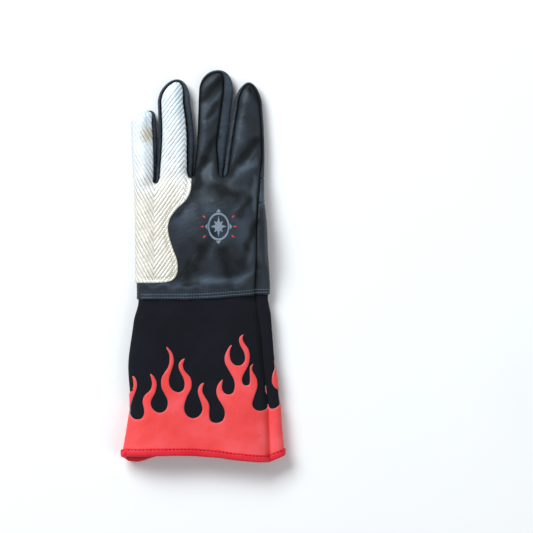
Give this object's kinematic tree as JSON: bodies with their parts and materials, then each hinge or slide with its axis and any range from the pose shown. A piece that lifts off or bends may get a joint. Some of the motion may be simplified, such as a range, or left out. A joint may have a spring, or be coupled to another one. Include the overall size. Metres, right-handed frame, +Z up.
{
  "type": "tig welding glove",
  "caption": "Left-hand gauntlet glove for fine welding: flattened leather hand with an open cuff, a heat patch and an inlaid flame border.",
  "frame": {"origin": "under the middle of the whole glove, on the surface that it lies on", "axes": "+Z up, away from the surface; +Y towards the fingertips; -X the little finger's side, +X the thumb's side"},
  "size_m": [0.1428, 0.3398, 0.0298],
  "materials": {
    "grain_leather": "smooth grain goatskin, satin",
    "suede": "split leather, matte nap",
    "aluminized_cloth": "herringbone weave with an aluminized face",
    "red_leather": "smooth dyed leather, satin",
    "binding_leather": "rolled leather edge, satin",
    "thread": "sewing thread"
  },
  "bodies": {
    "root": {"back_panel": "grain_leather", "palm_panel": "grain_leather", "fourchette_little_ring": "grain_leather", "fourchette_ring_middle": "grain_leather", "fourchette_middle_index": "grain_leather", "index_side": "grain_leather", "thumb_gusset": "grain_leather", "thumb": "grain_leather", "heat_patch": "aluminized_cloth", "cuff_back": "suede", "cuff_palm": "suede", "cuff_gusset": "suede", "flames_back": "red_leather", "flames_palm": "red_leather", "flames_gusset": "red_leather", "cuff_binding": "binding_leather"}
  },
  "joints": []
}
